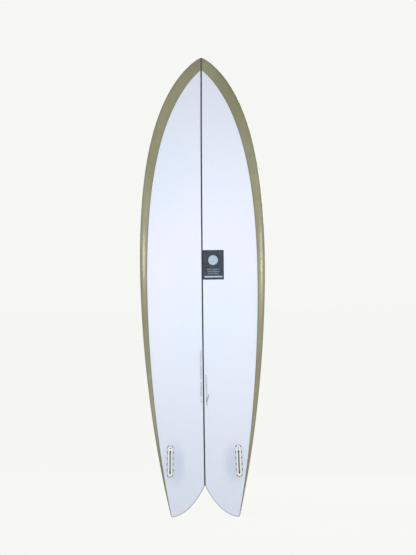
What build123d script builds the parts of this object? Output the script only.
from build123d import *
import os
from math import cos, radians, sin, sqrt

# A twin-fin fish surfboard, in millimetres, standing on its two tail tips with its nose up.
# X runs across the board, -Y is the bottom, +Y is the deck, and Z runs from the tail tips to the nose.
LENGTH = 1981.2            # 6 ft 6 in
TAIL_SPARE = 20.0          # the hull is drawn this far past the tail tips, and the tail cutter takes it off
GLASS = 1.2                # cloth and resin, on every face of the foam
PATCH_GLASS = 0.8          # second layer of cloth on the rear of the deck
STRINGER_WIDTH = 6.4       # 1/4 in

# Long curves of the hull. Each is one Bezier curve from nose to tail, given by its control values.
HALF_WIDTH = (0, 22, 231, 292, 287, 298, 143)
MID_RISE = (115, 115, 113, 6, 39, 17, 58)          # middle of the thickness: this is the rocker
THICKNESS = (4, 36, 12, 60, 85, 80, 21)
RAIL_HEIGHT = (0.50, 0.50, 0.48, 0.42, 0.40, 0.32, 0.16)    # widest point, as a share of the thickness
BOTTOM_FLAT = (0.80, 0.80, 0.82, 0.85, 0.88, 0.93, 0.96)    # how far out the bottom stays flat
BOTTOM_TUCK = (0.40, 0.40, 0.38, 0.32, 0.28, 0.12, 0.04)    # how high the rail's lower curve starts
DECK_FLAT = 0.60           # how far out the deck stays flat
DECK_SHOULDER = 0.80       # how high the rail's upper curve starts

# Swallow tail: one Bezier curve for each lobe, from the notch to the tip, then a round corner.
NOTCH_CURVE = ((0, 137), (17, 100), (69, 8), (141.4, 0))
TIP_RADIUS = 8.0

# Cut lap: where the tinted deck cloth, wrapped round the rails, ends on the bottom.
LAP_NOSE = 52.5            # from the nose tip to the lap line's point
LAP_HALF_WIDTH = (0, 1, 178, 267, 247, 266, 142)

# Paper label under the bottom glass, beside the stringer.
LABEL_SIZE = (90.0, 127.0)
LABEL_CENTRE = (LABEL_SIZE[0] / 2 + STRINGER_WIDTH / 2, 1085.0)
LABEL_DEPTH = 0.9          # under the glass, measured at the middle of the board

# Fin boxes. Along the box, a plus is towards the nose.
BOX_ACROSS = 148.0         # from the middle of the board
BOX_ALONG = 242.0          # from the tail tips
BOX_TOE_IN = 1.75          # degrees, front ends nearer the middle
BOX_LENGTH, BOX_WIDTH, BOX_DEPTH = 131.0, 19.0, 20.0
FLANGE_LENGTH, FLANGE_WIDTH, FLANGE_BOTTOM = 142.0, 31.0, 3.6
SLOT_LENGTH, SLOT_WIDTH, SLOT_DEPTH, SLOT_SHIFT = 102.0, 7.0, 17.0, -4.5
FLANGE_CORNER = 13.5
WINDOW_LENGTH, WINDOW_WIDTH, WINDOW_PITCH, WINDOW_ROW = 9.0, 3.2, 25.5, 13.0
END_WINDOW_LENGTH, END_WINDOW_GAP, END_WINDOW_TURN = 7.0, 1.3, 52.0
RESIN = 1.0                # bed of resin round a box or a plug

# Grub screw at the front of each box. It leans so that its tip comes out in the end of the slot.
SCREW_ALONG = 56.0
SCREW_LEAN = 38.0          # degrees
SCREW_RADIUS, SCREW_LENGTH, SCREW_RECESS = 2.5, 9.0, 2.4
SCREW_CLEARANCE, SCREW_HOLE_LENGTH = 0.05, 17.0
SCREW_CHAMFER = 0.4
SOCKET_ACROSS_FLATS, SOCKET_DEPTH = 2.5, 3.0

# Leash plug, in the deck beside the stringer.
PLUG_ACROSS, PLUG_ALONG = 26.0, 262.0
PLUG_RADIUS, PLUG_DEPTH = 14.0, 18.0
CUP_RADIUS, CUP_DEPTH = 11.0, 15.5
PIN_RADIUS, PIN_DEPTH, PIN_SEAT = 2.5, 5.5, 2.0

# Second deck layer: a long oval sheet, from near the tail to just past the middle.
PATCH_CENTRE, PATCH_LENGTH, PATCH_WIDTH, PATCH_CORNER = 830.0, 1040.0, 340.0, 120.0
PATCH_FLOOR = -15.0        # a level between the bottom and the deck, all along the patch

OUTSIDE = 5.0              # tools that cut a pocket start this far outside the skin
REACH = 400.0              # farther than any part of the board from its middle plane
HALVINGS = 40              # steps in the search for a place on the skin
DEGREE = len(HALF_WIDTH) - 1


def bezier_value(values, t):
    """Value at t, 0 to 1, of the Bezier curve with these control values."""
    row = list(values)
    while len(row) > 1:
        row = [a + (b - a) * t for a, b in zip(row, row[1:])]
    return row[0]


def bottom_values():
    return [mid - thick / 2 for mid, thick in zip(MID_RISE, THICKNESS)]


def deck_values():
    return [mid + thick / 2 for mid, thick in zip(MID_RISE, THICKNESS)]


def along_curve(z):
    """Parameter of the long curves at height z. It grows as the root, which makes the nose round."""
    return sqrt((LENGTH - z) / (LENGTH + TAIL_SPARE))


# The bottom's lowest point and the deck's highest, so that Y is zero half way between them.
CURVE_STEPS = 400
STEPS = [k / CURVE_STEPS for k in range(CURVE_STEPS + 1)]
BOTTOM_LOW = min(bezier_value(bottom_values(), t) for t in STEPS)
DECK_HIGH = max(bezier_value(deck_values(), t) for t in STEPS)
Y_MIDDLE = (BOTTOM_LOW + DECK_HIGH) / 2


def section(station, inset, deck, deck_inset):
    """Control points, across and up, of half the deck or half the bottom at one station."""
    bottom = bottom_values()[station] + inset - Y_MIDDLE
    top = deck_values()[station] - deck_inset - Y_MIDDLE
    half = max(HALF_WIDTH[station] - inset, 0)
    rail = bottom - inset + RAIL_HEIGHT[station] * THICKNESS[station]
    if deck:
        shoulder = rail + DECK_SHOULDER * (top - rail)
        return [(0, top), (DECK_FLAT * half, top), (half, shoulder), (half, rail)]
    tuck = bottom + BOTTOM_TUCK[station] * (rail - bottom)
    return [(0, bottom), (BOTTOM_FLAT[station] * half, bottom), (half, tuck), (half, rail)]


def station_height(station, inset=0.0):
    drop = station * (station - 1) / (DEGREE * (DEGREE - 1))
    return LENGTH - inset - (LENGTH - inset + TAIL_SPARE) * drop


def hull_face(side, deck, inset, deck_inset):
    rows = []
    for station in range(DEGREE + 1):
        z = station_height(station, inset)
        points = section(station, inset, deck, deck_inset)
        rows.append([Vector(side * x, y, z) for x, y in points])
    return Face.make_bezier_surface(rows)


def hull(inset=0.0, deck_inset=None):
    """The board's shape before the tail is cut, with its skin moved in by inset."""
    deck_inset = inset if deck_inset is None else deck_inset
    faces = [hull_face(side, deck, inset, deck_inset) for side in (1, -1) for deck in (True, False)]
    end_edges = []
    for face in faces:
        end_edges.append(face.edges().sort_by(Axis.Z)[0])
    faces.append(Face(Wire(end_edges)))
    return Solid(Shell(faces))


def notch_points(inset):
    """Control points of one side of the notch, moved into the board by inset."""
    moved = []
    last = len(NOTCH_CURVE) - 1
    for i in range(last + 1):
        before, after = NOTCH_CURVE[max(i - 1, 0)], NOTCH_CURVE[min(i + 1, last)]
        across, down = after[0] - before[0], before[1] - after[1]
        run = sqrt(across * across + down * down)
        x, z = NOTCH_CURVE[i]
        if i == 0:
            moved.append((0, z + inset * run / across))
        elif i == last:
            moved.append((x, z + inset))
        else:
            moved.append((x + inset * down / run, z + inset * across / run))
    return moved


def tail_cutter(inset=0.0):
    """Everything behind the swallow tail, its outline moved into the board by inset."""
    points = notch_points(inset)
    tip_x, tip_z = points[-1]
    radius = TIP_RADIUS - inset
    half = radians(45)
    lines = []
    for side in (1, -1):
        notch = Bezier(*[(side * x, z) for x, z in points])
        middle = (side * (tip_x + radius * sin(half)), tip_z + radius * (1 - cos(half)))
        corner = (side * (tip_x + radius), tip_z + radius)
        round_tip = ThreePointArc((side * tip_x, tip_z), middle, corner)
        back = Polyline(corner, (side * REACH, corner[1]), (side * REACH, -REACH), (0, -REACH))
        lines += [notch, round_tip, back]
    return extrude(Plane.XZ * make_face(lines), REACH, both=True)


def lap_cutter():
    """The bottom of the board inside the cut lap, up to the level of the rails."""
    points = []
    for station, half in enumerate(LAP_HALF_WIDTH):
        drop = station * (station - 1) / (DEGREE * (DEGREE - 1))
        points.append((half, LENGTH - LAP_NOSE - (LENGTH - LAP_NOSE + TAIL_SPARE) * drop))
    right = Bezier(*points)
    left = Bezier(*[(-x, z) for x, z in points])
    base = Line(right @ 1, left @ 1)
    prism = extrude(Plane.XZ * make_face([right, left, base]), REACH, both=True)

    rail_points = []
    for station in range(DEGREE + 1):
        rail = section(station, 0.0, True, 0.0)[-1][1]
        rail_points.append((rail, station_height(station)))
    rail_line = Bezier(*rail_points)
    far = Polyline(rail_line @ 1, (-REACH, -TAIL_SPARE), (-REACH, LENGTH), rail_line @ 0)
    below_rails = extrude(Plane.YZ * make_face([rail_line, far]), REACH, both=True)
    return prism & below_rails


def skin_height(x, z, deck):
    """Y of the skin, deck or bottom, at a place on the board."""
    t = along_curve(z)
    stations = [section(i, 0.0, deck, 0.0) for i in range(DEGREE + 1)]
    across = [bezier_value([points[j][0] for points in stations], t) for j in range(4)]
    up = [bezier_value([points[j][1] for points in stations], t) for j in range(4)]
    low, high = 0.0, 1.0
    for _ in range(HALVINGS):
        guess = (low + high) / 2
        if bezier_value(across, guess) < abs(x):
            low = guess
        else:
            high = guess
    return bezier_value(up, low)


def skin_plane(x, z, deck):
    """Plane on the skin: its X runs towards the nose, and its Z points out of the board."""
    step = 1.0
    rise_forward = skin_height(x, z + step, deck) - skin_height(x, z - step, deck)
    rise_sideways = skin_height(x + step, z, deck) - skin_height(x - step, z, deck)
    forward = Vector(0, rise_forward, 2 * step)
    sideways = Vector(2 * step, rise_sideways, 0)
    normal = forward.cross(sideways) if deck else sideways.cross(forward)
    return Plane(origin=(x, skin_height(x, z, deck), z), x_dir=forward, z_dir=normal)


def moved(plane, *place):
    """The plane, moved and turned in its own directions."""
    return Plane(plane.location * Location(*place))


def box_plane(side):
    return moved(skin_plane(side * BOX_ACROSS, BOX_ALONG, False), (0, 0, 0), (0, 0, side * BOX_TOE_IN))


def screw_plane(side):
    """Plane at the mouth of the screw hole, its Z along the screw, out of the board."""
    return moved(box_plane(side), (SCREW_ALONG, 0, 0), (0, SCREW_LEAN, 0))


def plug_plane():
    return skin_plane(PLUG_ACROSS, PLUG_ALONG, True)


def column(plane, sketch, depth, top=OUTSIDE):
    """A sketch on a plane, drawn down to a depth below it and up to a height above it."""
    return extrude(plane.offset(-depth) * sketch, depth + top)


def end_windows(count):
    """Openings spread evenly round the front end of a fin box's flange."""
    end_middle = (BOX_LENGTH - BOX_WIDTH) / 2
    radius = (BOX_WIDTH + WINDOW_WIDTH) / 2 + END_WINDOW_GAP
    around = PolarLocations(radius, count, -END_WINDOW_TURN, 2 * END_WINDOW_TURN, endpoint=True)
    return Pos(end_middle, 0) * (Sketch() + around * Rectangle(WINDOW_WIDTH, END_WINDOW_LENGTH))


def windows():
    """Openings in a fin box's flange, which resin rises through."""
    rows = GridLocations(WINDOW_PITCH, 2 * WINDOW_ROW, 4, 2) * Rectangle(WINDOW_LENGTH, WINDOW_WIDTH)
    return Sketch() + rows + end_windows(2) + Rot(0, 0, 180) * end_windows(3)


def box_outline(grow=0.0):
    return SlotOverall(BOX_LENGTH + 2 * grow, BOX_WIDTH + 2 * grow)


def flange_outline():
    return RectangleRounded(FLANGE_LENGTH, FLANGE_WIDTH, FLANGE_CORNER)


def fin_box(side, outer, inner):
    """Plastic socket: a body flush with the skin, and a pierced flange under the glass."""
    plane = box_plane(side)
    body = column(plane, box_outline(), BOX_DEPTH) & outer
    flange = column(plane, flange_outline() - windows(), FLANGE_BOTTOM) & inner
    slot = column(plane, Pos(SLOT_SHIFT, 0) * SlotOverall(SLOT_LENGTH, SLOT_WIDTH), SLOT_DEPTH)
    hole = column(screw_plane(side), Circle(SCREW_RADIUS + SCREW_CLEARANCE), SCREW_HOLE_LENGTH)
    return body + flange - slot - hole


def fin_box_pocket(side, inner):
    """The space routed in the foam for a box and its bed of resin."""
    plane = box_plane(side)
    deep = column(plane, box_outline(RESIN), BOX_DEPTH + RESIN)
    shallow = column(plane, flange_outline(), FLANGE_BOTTOM + RESIN)
    return (deep + shallow) & inner


def fin_box_resin(side, pocket):
    plane = box_plane(side)
    body = column(plane, box_outline(), BOX_DEPTH)
    flange = column(plane, flange_outline() - windows(), FLANGE_BOTTOM)
    return pocket - body - flange


def fin_screw(side):
    """Grub screw with a chamfer at each end and a hexagon socket."""
    top = screw_plane(side).offset(-SCREW_RECESS)
    screw = extrude(top.offset(-SCREW_LENGTH) * Circle(SCREW_RADIUS), SCREW_LENGTH)
    rims = screw.edges().filter_by(GeomType.CIRCLE)
    screw = chamfer(rims, SCREW_CHAMFER)
    hexagon = RegularPolygon(SOCKET_ACROSS_FLATS / 2, 6, major_radius=False)
    return screw - extrude(top.offset(-SOCKET_DEPTH) * hexagon, SOCKET_DEPTH + 1)


def leash_plug(outer, inner):
    """Cup, cross pin and bed of resin, and the pocket in the foam that holds them."""
    plane = plug_plane()
    pocket = column(plane, Circle(PLUG_RADIUS + RESIN), PLUG_DEPTH + RESIN) & inner
    solid_cup = column(plane, Circle(PLUG_RADIUS), PLUG_DEPTH)
    pin_length = 2 * (CUP_RADIUS + PIN_SEAT)
    pin_middle = moved(plane, (0, 0, -PIN_DEPTH), (90, 0, 0))
    pin = extrude(pin_middle * Circle(PIN_RADIUS), pin_length / 2, both=True)
    hollow = column(plane, Circle(CUP_RADIUS), CUP_DEPTH)
    cup = (solid_cup & outer) - hollow - pin
    return cup, pin, pocket - solid_cup, pocket


def deck_patch(inner):
    """Second layer of cloth, between the foam and the deck's outer cloth."""
    outline = Pos(0, PATCH_CENTRE) * RectangleRounded(PATCH_WIDTH, PATCH_LENGTH, PATCH_CORNER)
    above = extrude(Plane.XZ.offset(-PATCH_FLOOR) * outline, -REACH)
    return (inner & above) - hull(GLASS, GLASS + PATCH_GLASS)


def label(inner):
    x, z = LABEL_CENTRE
    plane = skin_plane(0, z, False)
    sketch = Pos(0, -x) * Rectangle(LABEL_SIZE[1], LABEL_SIZE[0])
    return column(plane, sketch, GLASS + LABEL_DEPTH) & inner


def build():
    """Every piece of the board, by name."""
    inner_hull = hull(GLASS)
    outer = hull() - tail_cutter()
    inner = inner_hull - tail_cutter(GLASS)

    pieces = {}
    skin = outer - inner
    lap = lap_cutter()
    bottom_skin, deck_skin = skin & lap, skin - lap

    foam = inner
    for name, side in (("left", -1), ("right", 1)):
        pocket = fin_box_pocket(side, inner)
        pieces[f"fin_box_{name}"] = fin_box(side, outer, inner)
        pieces[f"fin_box_resin_{name}"] = fin_box_resin(side, pocket)
        pieces[f"fin_screw_{name}"] = fin_screw(side)
        foam -= pocket
        bottom_skin -= column(box_plane(side), box_outline(), BOX_DEPTH)

    cup, pin, plug_resin, plug_pocket = leash_plug(outer, inner)
    pieces["leash_plug_cup"], pieces["leash_plug_pin"] = cup, pin
    pieces["leash_plug_resin"] = plug_resin
    foam -= plug_pocket
    deck_skin -= column(plug_plane(), Circle(PLUG_RADIUS), PLUG_DEPTH)

    pieces["deck_patch"] = deck_patch(inner_hull)
    pieces["bottom_label"] = label(inner_hull)
    foam = foam - pieces["deck_patch"] - pieces["bottom_label"]

    middle = Pos(0, 0, LENGTH / 2) * Box(STRINGER_WIDTH, 2 * REACH, 2 * LENGTH)
    side_block = Box(REACH, 2 * REACH, 2 * LENGTH)
    side_x = (REACH + STRINGER_WIDTH) / 2
    pieces["stringer"] = foam & middle
    pieces["foam_left"] = foam & Pos(-side_x, 0, LENGTH / 2) * side_block
    pieces["foam_right"] = foam & Pos(side_x, 0, LENGTH / 2) * side_block
    pieces["bottom_laminate"] = bottom_skin
    pieces["deck_laminate"] = deck_skin
    return pieces


os.makedirs("parts", exist_ok=True)
for node, shape in build().items():
    export_step(shape, f"parts/{node}.step")
